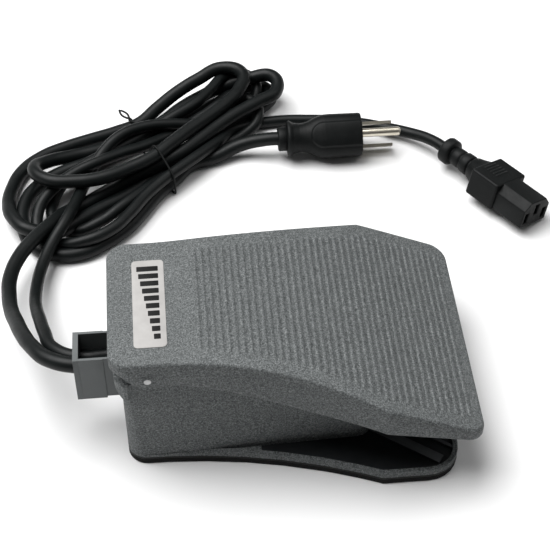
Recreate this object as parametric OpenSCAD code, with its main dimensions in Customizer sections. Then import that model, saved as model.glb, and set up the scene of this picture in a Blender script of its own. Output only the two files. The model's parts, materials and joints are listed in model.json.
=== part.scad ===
// Foot pedal speed control: a cast base and a hinged treadle with a speed pot inside,
// a cord box at the hinge end, and two cords gathered in a hank beside it.
// Millimetres. X runs from the hinge end to the lip, Y across the treadle, Z up from the floor.
// The modules are written with X = 0 at the treadle's hinge end; placed() moves that to the origin.

/* [Treadle] */
// Length of the treadle from its hinge end to its lip
treadle_l = 165; // [163:1:168]
// Width of the treadle at the hinge end
hinge_w = 75; // [74:1:77]
// Width of the treadle at the lip
lip_w = 117; // [113:1:121]
// Height of the flat part of the treadle above the floor
top_h = 70; // [69.5:0.5:72]
// Wall thickness of the treadle's skirt
skirt_t = 2.4; // [2.2:0.1:2.5]
// Thickness of the treadle's top plate
top_t = 3; // [2.6:0.1:3.4]
// Downward slope of the straight part of the treadle near its lip, as rise over run
lip_slope = 0.46; // [0.44:0.01:0.48]
// Number of grip ribs across the treadle
rib_count = 38; // [20:1:38]
// Distance from one grip rib to the next
rib_pitch = 3.2; // [3:0.05:3.2]

/* [Base] */
// Distance from the treadle's hinge end to the base's end wall
base_x0 = 4.5; // [4:0.5:5]
// Distance from the treadle's hinge end to the front of the base
base_x1 = 156.4; // [152:0.2:158]
// Thickness of the rubber floor pad
pad_t = 3; // [2:0.5:3.5]
// Thickness of the steel bottom plate
plate_t = 1.5; // [1:0.25:2]
// Height of the tray rim above the bottom plate
rim_h = 3.3; // [2.5:0.1:4]
// Wall thickness of the base casting
base_t = 3; // [2.5:0.5:3]

/* [Hinge] */
// Distance of the hinge pin from the hinge end
pin_x = 16.6; // [16:0.1:17]
// Height of the hinge pin above the floor
pin_z = 59.2; // [59:0.1:59.6]
// Radius of the hinge pin
pin_r = 1.6; // [1.4:0.1:1.8]
// Radial running clearance of the treadle on the pin
pin_gap = 0.06; // [0.03:0.01:0.09]

/* [Cords] */
// Diameter of the mains cord
mains_d = 7.6; // [7:0.1:7.6]
// Diameter of the cord to the tool
tool_d = 6.4; // [6:0.1:6.4]
// Thickness of the coiled hank of cord
hank_h = 22; // [18:1:24]

/* [Hidden] */
$fn = 48;

// Plan outline: straight near the hinge, then a concave flare to a kink, then straight to the lip.
flare_x0 = 14;
flare_x1 = 120;
flare_steps = 12;
flare_d = (lip_w - hinge_w) / 2;
flare_r = (pow(flare_x1 - flare_x0, 2) + pow(flare_d, 2)) / (2 * flare_d);
hinge_corner_r = 9;
lip_corner_r = 8;
tray_corner_r = 15;

// Side profile: the top is flat, then a crown curve, then straight down to the lip.
crown_x0 = 36;
crown_x1 = 130;
crown_steps = 12;
crown_l = crown_x1 - crown_x0;
skirt_edge = [[-1, 61.8], [20, 57.6], [50, 52], [85, 42.6], [118, 37.2], [treadle_l + 1, 26.6]];

// Base heights and cavity.
floor_z = pad_t + plate_t;
tray_t = 1.5;
rim_w = 2.2;
rim_start_x = [22, 52];
wall_y0 = 37.2;
wall_y1 = 34.6;
body_x1 = 118;
body_rim = [[130, 29], [85, 46], [50, 54.5], [20, 60], [0, 60]];
shoulder_x0 = 1.5;
shoulder_z0 = 46;
shoulder_ear_z = 50.5;
body_wall_z1 = 62;
body_front_y = 34.8;
body_front_r = 7;
lug_r = 4.6;
lug_t = 3.3;
lug_y = 34.5;

// Webs in the tray's front corners: a wide one and a thin one beside it.
web_x = 112;
web_y = 26;
web_turn = 36;
web_h = 2.6;
web_l = 44;
web_w = 4.8;
thin_web_l = 36;
thin_web_w = 1.6;
thin_web_gap = 9;

// Cord box, on the near half of the hinge end.
box_x0 = -16.5;
box_plate_t = 2.5;
box_step_x = -2.9;
box_y0 = -19.8;
box_y1 = -2.6;
box_z0 = 28.5;
box_z1 = 55.5;
box_wall = 1.4;
box_floor_z = 37;
box_screw_z = 33;
box_screw_inset = 4;
box_screw_r = 1.2;
box_head_r = 2.2;
box_head_t = 1;
mains_y = -14.4;
mains_z = 46.3;
tool_y = -7.3;
tool_z = 43.8;
cord_way_z = [39, 51];
clamp_t = 8;
clamp_z = [37, 53];

// Screws: bottom plate to base.
screw_x = [11.4, 111.5];
screw_y = [30, 28.5];
boss_r = 4.5;
boss_z1 = 16;
shank_r = 1.6;
shank_z1 = 13.5;
head_r = 3.2;
head_z0 = 1.2;
head_recess_r = 4;

// Speed pot and its gears, module 1: a toothed sector on the treadle turns a pinion on the pot.
sector_teeth = 120;
pinion_teeth = 12;
sector_r = sector_teeth / 2;
pinion_r = pinion_teeth / 2;
mesh_angle = 36;
pot_x = pin_x + (sector_r + pinion_r) * cos(mesh_angle);
pot_z = pin_z - (sector_r + pinion_r) * sin(mesh_angle);
sector_y0 = 6.5;
sector_y1 = 9.5;
pinion_y0 = 5.5;
pinion_y1 = 10.5;
bracket_y0 = 11;
bracket_y1 = 12.6;
bracket_half_l = 10;
bracket_foot_w = 8;
pot_r = 8;
pot_t = 8.4;
pot_shaft_r = 3;
tooth_add = 0.8;
tooth_ded = 1.1;
tooth_tip = 0.3;
tooth_root = 0.9;
arm_screw_x = [65, 71.5];
arm_screw_z = 56.5;
arm_screw_r = 1.5;
arm_head_r = 2.6;
arm_head_t = 1.8;
arm_top_z = 62.5;
arm_rim_r = 54.5;

// Return spring and pressed-down stop.
spring_x = 95;
spring_y = -12;
spring_r = 5.6;
spring_wire_r = 0.8;
spring_z0 = 9;
spring_z1 = 44;
spring_turns = 7;
spring_seat_r = 7.5;
spring_boss_r = 7;
stop_x = 100;
stop_y = 14;
stop_r = 5;
stop_z1 = 15;
post_x = 104;
post_r = 4;
post_gap = 12.6;

// Circuit board.
board_x0 = 20;
board_x1 = 56;
board_y0 = -30;
board_y1 = 2;
board_z0 = 10;
board_z1 = 11.6;
standoff_r = 2.4;
standoff_inset = 4;
terminal_pitch = 5.3;
terminal_y0 = -23.9;
terminal_hole_r = 1.7;
terminal_z1 = 22;
choke_at = [45, -9];
fin_count = 5;
fin_pitch = 5;
fin_t = 2;
fin_x0 = 26;
sink_z1 = 28;

// Label let into the treadle's top.
label_at = [11.6, -27.4];
label_size = [14.6, 52.6];
label_t = 0.3;
label_r = 2;

// Where the plug and the tool connector lie on the floor, and how they are turned.
plug_at = [92, 169, 12.4];
plug_roll = 43;
conn_at = [184.7, 155.2, 10.5];
conn_turn = -54.6;
conn_roll = -14;

// Grounded plug, along its own axis from the collar where the cord enters.
plug_collar_l = 5;
plug_collar_r = 6.8;
plug_flange_x1 = 8;
plug_flange_r = 9.9;
plug_waist_x1 = 17;
plug_waist_r = 7.4;
plug_face_x = 46.5;
plug_body_r = 12.3;
plug_half_w = 12.2;
plug_half_h = 11.9;
blade_y = 6.35;
blade_z = -4.5;
blade_t = 1.52;
blade_w = 6.35;
blade_l = 17.9;
ground_z = 7.4;
ground_r = 2.4;
ground_shank_r = 1.8;
ground_l = 21.4;
root_x = 29.5;

// Connector for the tool: relief, block and nose with three contact slots.
relief_l = 28.4;
relief_knob_r = 6.6;
relief_knob_l = 6;
relief_core_r = 4.6;
relief_rings = 3;
relief_ring_l = 5.4;
relief_pitch = 6.6;
conn_block_x1 = 46.6;
conn_nose_x1 = 67.2;
conn_half_w = 11.8;
conn_half_h = 7.8;
contact_y = 7;
slot_half = [1.4, 3.1];
contact_half = [0.6, 2.4];

// Routes of the cords, on the same axes as the modules.
mains_lead_route = [[7.5, mains_y, mains_z], [-13, mains_y, mains_z], [-19, -14.2, 46.3],
  [-29, -8, 45], [-38, 6, 40], [-45, 26, 31], [-50, 44, 23], [-52, 61, 18.5], [-51, 78, 16.5],
  [-42, 97, 16], [-34, 110, 14]];
mains_tail_route = [[46, 159, 5], [58, 166, 5], [68, 170.5, 7], [80, 171, 10.5], [94, 169, 12.4]];
tool_lead_route = [[7.5, tool_y, tool_z], [-13, tool_y, tool_z], [-18.5, -7, 43.7],
  [-25.5, -1, 42], [-31, 13, 38], [-35, 30, 31], [-38, 46, 22], [-39, 62, 15.5], [-38, 78, 11.5],
  [-35, 92, 11], [-30, 103, 13], [-26, 108, 14.5]];
tool_tail_route = [[62, 186, 3.4], [72, 189, 3.4], [84, 193, 3.4], [98, 195, 3.4],
  [116, 193.5, 3.4], [133, 191, 3.4], [148, 186, 3.8], [161, 179, 5], [173, 170, 7.8],
  [180.8, 160.6, 10], [186.4, 152.8, 10.5]];
hank_big = [-20, 138, 41];
hank_small = [76, 216, 20];
tie_at = [18, 172];
tie_size = [44, 4, 1.2];
tie_turn = 125;

function half_w(x) =
  x <= flare_x0 ? hinge_w / 2
  : x >= flare_x1 ? lip_w / 2
  : hinge_w / 2 + flare_r - sqrt(pow(flare_r, 2) - pow(x - flare_x0, 2));

function top_z(x) =
  x <= crown_x0 ? top_h
  : x <= crown_x1 ? top_h - lip_slope * pow(x - crown_x0, 2) / (2 * crown_l)
  : top_h - lip_slope * (crown_l / 2 + x - crown_x1);

function slope_at(x) = lip_slope * min(1, max(0, (x - crown_x0) / crown_l));

function arc(cx, cy, r, a0, a1, steps) =
  [for (i = [0:steps]) let (a = a0 + (a1 - a0) * i / steps) [cx + r * cos(a), cy + r * sin(a)]];

function reversed(list) = [for (i = [len(list) - 1:-1:0]) list[i]];

function mirrored_y(list) = [for (p = reversed(list)) [p[0], -p[1]]];

// Plan outline from x0 to x1, moved in by inset at the sides, with its corner radii.
function outline_side(x0, x1, inset, r0, r1) =
  concat(arc(x0 + r0, half_w(x0) - inset - r0, r0, 180, 90, 6),
    [for (i = [1:flare_steps]) let (x = flare_x0 + (flare_x1 - flare_x0) * i / flare_steps)
      [x, half_w(x) - inset]],
    arc(x1 - r1, lip_w / 2 - inset - r1, r1, 90, 0, 6));

function outline(x0, x1, inset, r0, r1) =
  let (side = outline_side(x0, x1, inset, r0, r1)) concat(side, mirrored_y(side));

// Plan of the upright body of the base: slightly narrower towards its front.
function body_plan(inset) =
  let (side = concat(
      arc(base_x0 + hinge_corner_r, wall_y0 - hinge_corner_r, hinge_corner_r - inset, 180, 90, 6),
      [[40, wall_y0 - inset]],
      arc(body_x1 - body_front_r, body_front_y - body_front_r, body_front_r - inset, 90, 0, 4)))
  concat(side, mirrored_y(side));

// Points of a ring of gear teeth from angle a0, on a pitch radius r.
function teeth(r, total, first, count, a0) =
  [for (i = [first:first + count - 1])
    let (a = a0 + 360 / total * i, k = 180 / PI,
      r0 = r - tooth_ded, r1 = r + tooth_add,
      w0 = k * tooth_root / r0, w1 = k * tooth_tip / r1)
    each [[r0 * cos(a - w0), r0 * sin(a - w0)], [r1 * cos(a - w1), r1 * sin(a - w1)],
      [r1 * cos(a + w1), r1 * sin(a + w1)], [r0 * cos(a + w0), r0 * sin(a + w0)]]];

function moved(list, dx, dz) = [for (p = list) [p[0] + dx, p[1] + dz]];

function unit(v) = v / norm(v);

// One ring of a swept tube: sides points round p, square to the direction t.
function tube_ring(p, t, r, sides) =
  let (b = unit(cross([0, 0, 1], t)), n = cross(t, b))
  [for (j = [0:sides - 1]) let (a = 360 * j / sides) p + r * cos(a) * b + r * sin(a) * n];

module placed() {
  translate([-(treadle_l + box_x0) / 2, 0, 0]) children();
}

// A tube of radius r swept along a route, closed at both ends.
module tube(route, r, sides) {
  last = len(route) - 1;
  rings = [for (i = [0:last])
    each tube_ring(route[i], unit(route[min(i + 1, last)] - route[max(i - 1, 0)]), r, sides)];
  walls = [for (i = [0:last - 1], j = [0:sides - 1])
    let (a = i * sides + j, b = i * sides + (j + 1) % sides)
    each [[a, b, b + sides], [a, b + sides, a + sides]]];
  ends = [[for (j = [sides - 1:-1:0]) j], [for (j = [0:sides - 1]) last * sides + j]];
  polyhedron(points = rings, faces = concat(walls, ends), convexity = 6);
}

module block(x0, x1, y0, y1, z0, z1) {
  translate([x0, y0, z0]) cube([x1 - x0, y1 - y0, z1 - z0]);
}

// A plan outline extruded up.
module prism_z(points, z0, z1) {
  translate([0, 0, z0]) linear_extrude(z1 - z0) polygon(points);
}

// An (x, z) outline extruded across.
module prism_y(points, y0, y1) {
  translate([0, y1, 0]) rotate([90, 0, 0]) linear_extrude(y1 - y0) polygon(points);
}

// A (y, z) outline extruded lengthwise.
module prism_x(points, x0, x1) {
  translate([x0, 0, 0]) rotate([90, 0, 90]) linear_extrude(x1 - x0) polygon(points);
}

module rod_y(x, z, r, y0, y1) {
  translate([x, y1, z]) rotate([90, 0, 0]) cylinder(h = y1 - y0, r = r);
}

module rod_x(y, z, r, x0, x1) {
  translate([x0, y, z]) rotate([0, 90, 0]) cylinder(h = x1 - x0, r = r);
}

module rod_z(x, y, r, z0, z1) {
  translate([x, y, z0]) cylinder(h = z1 - z0, r = r);
}

module bottom_screw_places() {
  for (i = [0:1], side = [-1, 1]) translate([screw_x[i], side * screw_y[i], 0]) children();
}

// Base casting: hollow body, low flared tray with a rim, and a shoulder under the hinge.

module body_shape(inset, z0, z1) {
  intersection() {
    prism_z(body_plan(inset), z0, z1);
    prism_x([[-wall_y0 + inset, floor_z - 2], [wall_y0 - inset, floor_z - 2],
      [wall_y1 - inset, body_wall_z1], [-wall_y1 + inset, body_wall_z1]], 0, body_x1 + 1);
  }
}

module base_casting() {
  color("dimgray") placed() difference() {
    union() {
      base_walls();
      tray();
      shoulder();
      for (side = [-1, 1]) hinge_lug(side);
      bottom_screw_places() cylinder_from(boss_r, floor_z, boss_z1);
    }
    rod_y(pin_x, pin_z, pin_r, -50, 50);
    bottom_screw_places() cylinder_from(shank_r, floor_z - 1, shank_z1 + 0.5);
    block(0, base_x0 + base_t + 1, box_y0 + box_wall, box_y1 - box_wall, cord_way_z[0], cord_way_z[1]);
    block(-1, base_x0, box_y0, box_y1, box_z0, box_z1 + 1);
  }
}

module cylinder_from(r, z0, z1) {
  translate([0, 0, z0]) cylinder(h = z1 - z0, r = r);
}

module base_walls() {
  difference() {
    intersection() {
      body_shape(0, floor_z, body_wall_z1);
      prism_y(concat([[0, floor_z - 1], [130, floor_z - 1]], body_rim), -60, 60);
    }
    body_shape(base_t, floor_z - 1, body_wall_z1 + 1);
  }
}

module tray() {
  difference() {
    union() {
      prism_z(outline(base_x0, base_x1, 0, hinge_corner_r, tray_corner_r), floor_z, floor_z + tray_t);
      difference() {
        prism_z(outline(base_x0, base_x1, 0, hinge_corner_r, tray_corner_r), floor_z, floor_z + rim_h);
        prism_z(outline(base_x0 + 20, base_x1 - rim_w, rim_w, hinge_corner_r, tray_corner_r - rim_w),
          floor_z - 1, floor_z + rim_h + 1);
        prism_y([[0, floor_z + 0.2], [rim_start_x[0], floor_z + 0.2], [rim_start_x[1], floor_z + rim_h],
          [rim_start_x[1], floor_z + rim_h + 1], [0, floor_z + rim_h + 1]], -60, 60);
      }
      intersection() {
        prism_z(outline(base_x0, base_x1, 1, hinge_corner_r, tray_corner_r - 1), floor_z,
          floor_z + rim_h);
        for (side = [-1, 1]) tray_webs(side);
      }
    }
    body_shape(base_t - 0.5, floor_z - 1, floor_z + rim_h + 1);
  }
}

// Two webs that run from the body's front corner out to the tray's corner.
module tray_webs(side) {
  translate([web_x, side * web_y, floor_z]) rotate([0, 0, side * web_turn]) {
    translate([0, -web_w / 2, 0]) cube([web_l, web_w, web_h]);
    translate([14, -side * thin_web_gap - thin_web_w / 2, 0]) cube([thin_web_l, thin_web_w, web_h]);
  }
}

module shoulder() {
  difference() {
    intersection() {
      prism_z(outline(shoulder_x0, base_x1, 0.1, hinge_corner_r, tray_corner_r),
        shoulder_z0 - 2, box_z1);
      prism_z([[0, -40], [4, -40], [10.5, -34], [10.5, 34], [4, 40], [0, 40]], shoulder_z0 - 2, box_z1);
      prism_y([[0, box_z1], [11, box_z1], [11, shoulder_z0], [base_x0 + 0.5, shoulder_z0],
        [shoulder_x0, shoulder_ear_z], [0, shoulder_ear_z]], -60, 60);
      prism_x([[-60, shoulder_ear_z], [-60, box_z1], [60, box_z1], [60, shoulder_ear_z],
        [35, shoulder_z0], [-35, shoulder_z0]], 0, 20);
    }
    body_shape(base_t - 0.5, shoulder_z0 - 6, body_wall_z1);
  }
}

module hinge_lug(side) {
  y0 = side > 0 ? lug_y - lug_t : -lug_y;
  rod_y(pin_x, pin_z, lug_r, y0, y0 + lug_t);
}

module bottom_plate() {
  color("black") placed() difference() {
    prism_z(outline(base_x0, base_x1, 0, hinge_corner_r, tray_corner_r), pad_t, floor_z);
    bottom_screw_places() cylinder_from(shank_r + 0.2, pad_t - 1, floor_z + 1);
  }
}

module floor_pad() {
  color("black") placed() difference() {
    prism_z(outline(base_x0, base_x1, 0, hinge_corner_r, tray_corner_r), 0, pad_t);
    bottom_screw_places() cylinder_from(head_recess_r, -1, pad_t + 1);
  }
}

module bottom_screw(i, side) {
  color("silver") placed() translate([screw_x[i], side * screw_y[i], 0]) {
    cylinder_from(head_r, head_z0, pad_t);
    cylinder_from(shank_r, pad_t - 0.01, shank_z1);
  }
}

module hinge_pin() {
  color("silver") placed() rod_y(pin_x, pin_z, pin_r, -hinge_w / 2 - 0.2, hinge_w / 2 + 0.2);
}

// Cord box: an open-topped sleeve with a separate end plate.

module cord_box() {
  color("gray") placed() difference() {
    union() {
      block(box_x0 + box_plate_t, box_step_x, box_y0, box_y1, box_z0, box_z1);
      block(box_step_x - 0.01, base_x0, box_y0 + 0.3, box_y1 - 0.3, box_z0 + 0.8, box_z1);
    }
    block(box_x0, base_x0 + 1, box_y0 + box_wall, box_y1 - box_wall, box_floor_z, box_z1 + 1);
    for (i = [0:1]) rod_x(box_screw_y(i), box_screw_z, box_screw_r, box_x0, -8);
  }
}

function box_screw_y(i) = i == 0 ? box_y0 + box_screw_inset : box_y1 - box_screw_inset;

module cord_box_plate() {
  color("darkgray") placed() difference() {
    block(box_x0, box_x0 + box_plate_t, box_y0, box_y1, box_z0, box_z1);
    rod_x(mains_y, mains_z, mains_d / 2 + 0.2, box_x0 - 1, 0);
    rod_x(tool_y, tool_z, tool_d / 2 + 0.6, box_x0 - 1, 0);
    for (i = [0:1]) {
      rod_x(box_screw_y(i), box_screw_z, box_screw_r, box_x0 - 1, 0);
      rod_x(box_screw_y(i), box_screw_z, box_head_r, box_x0 - 1, box_x0 + box_head_t + 0.2);
    }
  }
}

module cord_box_screw(i) {
  color("silver") placed() {
    rod_x(box_screw_y(i), box_screw_z, box_head_r, box_x0 + 0.2, box_x0 + box_head_t + 0.2);
    rod_x(box_screw_y(i), box_screw_z, box_screw_r, box_x0 + box_head_t + 0.19, -8.5);
  }
}

// Clamp that holds both cords against the inside of the end wall.
module cord_clamp() {
  color("ivory") placed()
    block(base_x0 + base_t, base_x0 + base_t + clamp_t, box_y0 - 1, box_y1 + 1, clamp_z[0], clamp_z[1]);
}

// Electronics inside the base.

module circuit_board() {
  color("darkgreen") placed() block(board_x0, board_x1, board_y0, board_y1, board_z0, board_z1);
}

module board_standoff(ix, iy) {
  x = ix == 0 ? board_x0 + standoff_inset : board_x1 - standoff_inset;
  y = iy == 0 ? board_y0 + standoff_inset : board_y1 - standoff_inset;
  color("ivory") placed() rod_z(x, y, standoff_r, floor_z, board_z0);
}

module terminal_block() {
  color("seagreen") placed() difference() {
    block(22, 32, -27, -5, board_z1, terminal_z1);
    for (i = [0:3])
      rod_z(27, terminal_y0 + terminal_pitch * i, terminal_hole_r, terminal_z1 - 5, terminal_z1 + 1);
  }
}

module capacitor() {
  color("goldenrod") placed() block(36, 54, -28, -20, board_z1, 25);
}

module choke() {
  color("darkorange") placed() translate([choke_at[0], choke_at[1], board_z1]) rotate_extrude()
    polygon([[3.4, 1], [4.4, 0], [8, 0], [9, 1], [9, 5], [8, 6], [4.4, 6], [3.4, 5]]);
}

module heat_sink() {
  color("silver") placed() {
    block(fin_x0, fin_x0 + fin_pitch * (fin_count - 1) + fin_t, 14, 16.5, floor_z, sink_z1);
    for (i = [0:fin_count - 1])
      block(fin_x0 + fin_pitch * i, fin_x0 + fin_pitch * i + fin_t, 16.4, 29, floor_z, sink_z1);
  }
}

module triac() {
  color("dimgray") placed() {
    block(32, 42, 9.6, 14, 12, 21);
    block(32, 42, 12.7, 14, 20.9, 27);
  }
}

module pot_bracket() {
  color("silver") placed() difference() {
    union() {
      block(pot_x - bracket_half_l, pot_x + bracket_half_l, bracket_y0, bracket_y1,
        floor_z, pot_z + pot_r);
      block(pot_x - bracket_half_l, pot_x + bracket_half_l, bracket_y1 - 0.01,
        bracket_y1 + bracket_foot_w, floor_z, floor_z + 1.6);
    }
    rod_y(pot_x, pot_z, pot_shaft_r + 0.3, bracket_y0 - 1, bracket_y1 + 1);
  }
}

module pot_body() {
  color("darkblue") placed() difference() {
    union() {
      rod_y(pot_x, pot_z, pot_r, bracket_y1, bracket_y1 + pot_t);
      for (i = [-1:1]) block(pot_x + 5 * i - 0.8, pot_x + 5 * i + 0.8, bracket_y1 + 2,
        bracket_y1 + 3, pot_z + 4, pot_z + 12);
    }
    rod_y(pot_x, pot_z, pot_shaft_r + 0.06, bracket_y1 - 1, bracket_y1 + 5);
  }
}

// The moving gear train: treadle sector, pinion and pot shaft.

module pot_shaft() {
  color("silver") placed() rod_y(pot_x, pot_z, pot_shaft_r, pinion_y0 - 1, bracket_y1 + 4.8);
}

module pinion() {
  color("white") placed() difference() {
    prism_y(moved(teeth(pinion_r, pinion_teeth, 0, pinion_teeth, 180 - mesh_angle), pot_x, pot_z),
      pinion_y0, pinion_y1);
    rod_y(pot_x, pot_z, pot_shaft_r, pinion_y0 - 1, pinion_y1 + 1);
  }
}

module sector_gear() {
  first_a = -mesh_angle - 4.5;
  rim_pts = teeth(sector_r, sector_teeth, 0, 7, first_a);
  arm_pts = [[74, arm_top_z], [62, arm_top_z]];
  inner_pts = moved(reversed(arc(0, 0, arm_rim_r, first_a - 1.2, first_a + 19, 6)), pin_x, pin_z);
  color("white") placed() difference() {
    prism_y(concat(moved(rim_pts, pin_x, pin_z), arm_pts, inner_pts), sector_y0, sector_y1);
    for (x = arm_screw_x) rod_y(x, arm_screw_z, arm_screw_r, 0, 20);
  }
}

module sector_screw(i) {
  color("silver") placed() {
    rod_y(arm_screw_x[i], arm_screw_z, arm_head_r, sector_y0 - arm_head_t, sector_y0);
    rod_y(arm_screw_x[i], arm_screw_z, arm_screw_r, sector_y0 - 0.01, 14);
  }
}

// Return spring between the base and the treadle, and the pressed-down stop.

module spring_seat() {
  color("ivory") placed() {
    rod_z(spring_x, spring_y, spring_seat_r, floor_z, spring_z0);
    rod_z(spring_x, spring_y, spring_r - 1.6, spring_z0 - 0.01, spring_z0 + 4);
  }
}

module return_spring() {
  per_turn = 12;
  height = spring_z1 - spring_z0 - 2 * spring_wire_r - 0.3;
  route = [for (i = [0:spring_turns * per_turn])
    [spring_x + spring_r * cos(360 * i / per_turn), spring_y + spring_r * sin(360 * i / per_turn),
      spring_z0 + spring_wire_r + height * i / (spring_turns * per_turn)]];
  color("silver") placed() tube(route, spring_wire_r, 6);
}

module stop_bumper() {
  color("black") placed() rod_z(stop_x, stop_y, stop_r, floor_z, stop_z1);
}

// Treadle: one casting with a skirt, grip ribs and bosses underneath.

function treadle_line(drop) =
  concat([[-2, top_h - drop]],
    [for (i = [0:crown_steps]) let (x = crown_x0 + crown_l * i / crown_steps) [x, top_z(x) - drop]],
    [[treadle_l + 2, top_z(treadle_l + 2) - drop]]);

module treadle_outer() {
  intersection() {
    prism_z(outline(0, treadle_l, 0, hinge_corner_r, lip_corner_r), 20, 80);
    prism_y(concat(treadle_line(0), reversed(skirt_edge)), -70, 70);
  }
}

module treadle_cavity() {
  intersection() {
    prism_z(outline(skirt_t, treadle_l - skirt_t, skirt_t, hinge_corner_r - skirt_t,
      lip_corner_r - skirt_t), 10, 80);
    prism_y(concat(treadle_line(top_t), [[treadle_l + 2, 10], [-2, 10]]), -70, 70);
  }
}

// Bosses reach up into the top plate, whatever its slope.
module treadle_bosses() {
  intersection() {
    prism_y(concat(treadle_line(1), [[treadle_l + 2, 10], [-2, 10]]), -70, 70);
    union() {
      rod_z(spring_x, spring_y, spring_boss_r, spring_z1, 80);
      rod_z(post_x, stop_y, post_r, stop_z1 + post_gap, 80);
      block(61, 75, sector_y1, 16, 51, 80);
    }
  }
}

module grip_rib(i) {
  x = treadle_l - 124.6 + rib_pitch * i;
  translate([x, 0, top_z(x)]) rotate([0, atan(slope_at(x)), 0])
    cube([1.6, 2 * (half_w(x) - 8), 1.4], center = true);
}

module treadle() {
  color("gray") placed() difference() {
    union() {
      difference() {
        treadle_outer();
        treadle_cavity();
      }
      treadle_bosses();
      for (i = [0:rib_count - 1]) grip_rib(i);
      for (side = [-1, 1]) treadle_lug(side);
    }
    rod_y(pin_x, pin_z, pin_r + pin_gap, -60, 60);
    for (x = arm_screw_x) rod_y(x, arm_screw_z, arm_screw_r, sector_y1 - 1, 14);
  }
}

module treadle_lug(side) {
  y0 = side > 0 ? hinge_w / 2 - skirt_t : -hinge_w / 2;
  rod_y(pin_x, pin_z, 4.2, y0, y0 + skirt_t);
}

module label_plate() {
  x1 = label_size[0] - label_r;
  y1 = label_size[1] - label_r;
  color("white") placed() translate([label_at[0], label_at[1], top_h]) linear_extrude(label_t)
    polygon(concat(arc(label_r, label_r, label_r, 180, 270, 4), arc(x1, label_r, label_r, 270, 360, 4),
      arc(x1, y1, label_r, 0, 90, 4), arc(label_r, y1, label_r, 90, 180, 4)));
}

// Cords, and what is on their ends.

module mains_cord_lead() {
  color("black") placed() tube(mains_lead_route, mains_d / 2, 10);
}

module mains_cord_tail() {
  color("black") placed() tube(mains_tail_route, mains_d / 2, 10);
}

module tool_cord_lead() {
  color("black") placed() tube(tool_lead_route, tool_d / 2, 10);
}

module tool_cord_tail() {
  color("black") placed() tube(tool_tail_route, tool_d / 2, 10);
}

module cord_hank() {
  way = [hank_small[0] - hank_big[0], hank_small[1] - hank_big[1]];
  lean = atan2(way[1], way[0]);
  open = acos((hank_big[2] - hank_small[2]) / norm(way));
  color("black") placed() prism_z(concat(
    arc(hank_big[0], hank_big[1], hank_big[2], lean + open, lean + 360 - open, 16),
    arc(hank_small[0], hank_small[1], hank_small[2], lean - open, lean + open, 10)), 0, hank_h);
}

module cord_tie() {
  color("black") placed() translate([tie_at[0], tie_at[1], hank_h]) rotate([0, 0, tie_turn])
    translate([-tie_size[0] / 2, -tie_size[1] / 2, 0]) cube(tie_size);
}

// The plug's parts share one local frame: X towards the blades, Z towards the ground pin.
module plug_frame() {
  translate(plug_at) rotate([plug_roll, 0, 0]) children();
}

module mains_plug() {
  color("black") placed() plug_frame() difference() {
    union() {
      rod_x(0, 0, plug_waist_r, plug_flange_x1, plug_waist_x1);
      intersection() {
        rod_x(0, 0, plug_body_r, plug_waist_x1, plug_face_x);
        block(plug_waist_x1 - 1, plug_face_x + 1, -plug_half_w, plug_half_w, -plug_half_h, plug_half_h);
      }
    }
    for (side = [-1, 1]) blade_block(side, root_x - 0.5, plug_face_x + 1, 0.02);
    rod_x(0, ground_z, ground_shank_r, root_x - 0.5, plug_face_x + 1);
    rod_x(0, 0, mains_d / 2, plug_flange_x1 - 1, 12);
  }
}

module plug_relief() {
  color("black") placed() plug_frame() difference() {
    union() {
      rod_x(0, 0, plug_collar_r, 0, plug_collar_l + 0.01);
      rod_x(0, 0, plug_flange_r, plug_collar_l, plug_flange_x1);
    }
    rod_x(0, 0, mains_d / 2 - 0.3, -1, plug_flange_x1 + 1);
  }
}

// A blade's place from x0 to x1, with extra room all round.
module blade_block(side, x0, x1, extra) {
  half_t = blade_t / 2 + extra;
  half_h = blade_w / 2 + extra;
  block(x0, x1, side * blade_y - half_t, side * blade_y + half_t, blade_z - half_h, blade_z + half_h);
}

module plug_blade(side) {
  color("gold") placed() plug_frame() blade_block(side, root_x, plug_face_x + blade_l, 0);
}

// The pin is full size outside the plug, and has a thinner shank moulded into it.
module plug_ground_pin() {
  color("gold") placed() plug_frame() {
    rod_x(0, ground_z, ground_shank_r, root_x, plug_face_x + 0.01);
    rod_x(0, ground_z, ground_r, plug_face_x, plug_face_x + ground_l);
  }
}

// The tool connector's parts share one local frame: X towards its mating face.
module conn_frame() {
  translate(conn_at) rotate([conn_roll, 0, conn_turn]) children();
}

module tool_connector() {
  color("black") placed() conn_frame() difference() {
    union() {
      block(relief_l, conn_block_x1, -conn_half_w, conn_half_w, -conn_half_h, conn_half_h);
      prism_x([[-10.4, -7.2], [10.4, -7.2], [10.4, 3.2], [6, 7.6], [-6, 7.6], [-10.4, 3.2]],
        conn_block_x1 - 0.01, conn_nose_x1);
    }
    for (i = [-1:1]) contact_slot(i, slot_half, conn_block_x1 - 3, conn_nose_x1 + 1);
  }
}

function contact_z(i) = i == 0 ? 2 : -2;

module contact_slot(i, half, x0, x1) {
  block(x0, x1, contact_y * i - half[0], contact_y * i + half[0],
    contact_z(i) - half[1], contact_z(i) + half[1]);
}

module connector_relief() {
  color("black") placed() conn_frame() {
    difference() {
      union() {
        rod_x(0, 0, relief_knob_r, 0, relief_knob_l + 0.01);
        for (i = [0:relief_rings - 1]) let (x = relief_knob_l + 1.5 + relief_pitch * i)
          rod_x(0, 0, 5.2 + 0.6 * i, x, x + relief_ring_l);
        rod_x(0, 0, relief_core_r, relief_knob_l, relief_l);
      }
      rod_x(0, 0, tool_d / 2 - 0.3, -1, 5);
    }
  }
}

module connector_contact(i) {
  color("gold") placed() conn_frame()
    contact_slot(i, contact_half, conn_block_x1 - 3, conn_nose_x1 - 4);
}

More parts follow.
